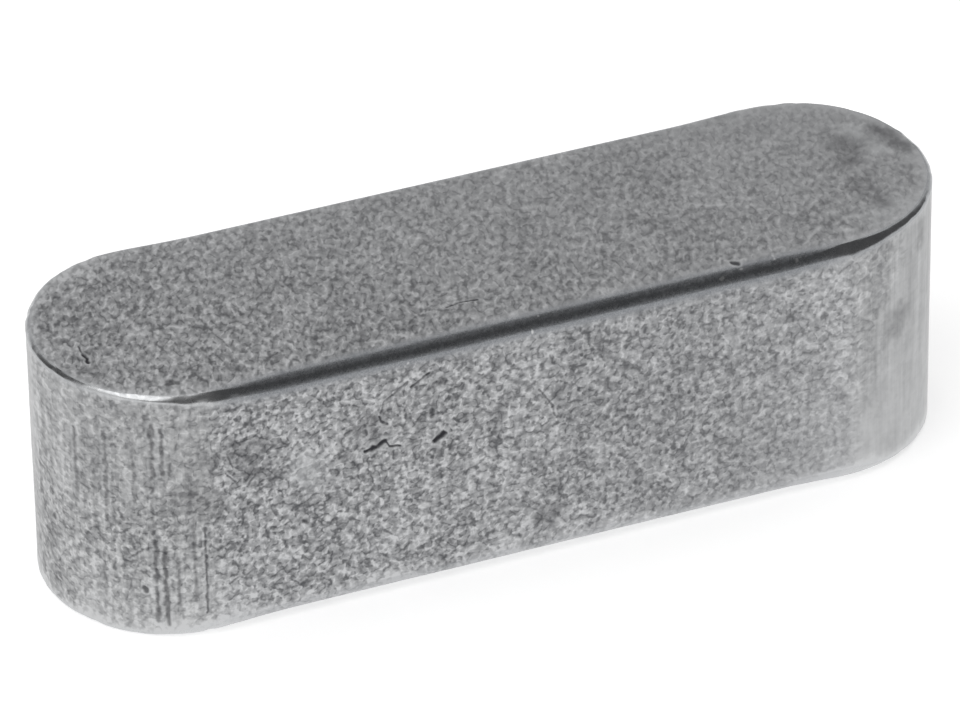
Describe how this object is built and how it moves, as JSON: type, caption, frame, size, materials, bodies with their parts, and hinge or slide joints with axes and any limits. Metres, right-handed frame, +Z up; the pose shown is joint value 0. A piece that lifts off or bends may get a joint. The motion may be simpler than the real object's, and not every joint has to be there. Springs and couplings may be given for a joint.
{
  "type": "parallel key",
  "caption": "Solid steel parallel key with half-round ends, flat faces and chamfered long edges, for locking a hub to a keyed shaft.",
  "frame": {"origin": "centre of the seat, the lower face that lies on the floor of the shaft's keyway", "axes": "+X along the key, +Y across it from flank to flank, +Z up from the seat to the back"},
  "size_m": [0.02, 0.006, 0.006],
  "materials": {
    "bright_steel": "bright-drawn steel, tumbled to a fine matt grey grain, with milling lines on the round ends"
  },
  "bodies": {
    "root": {"parallel_key": "bright_steel"}
  },
  "joints": []
}
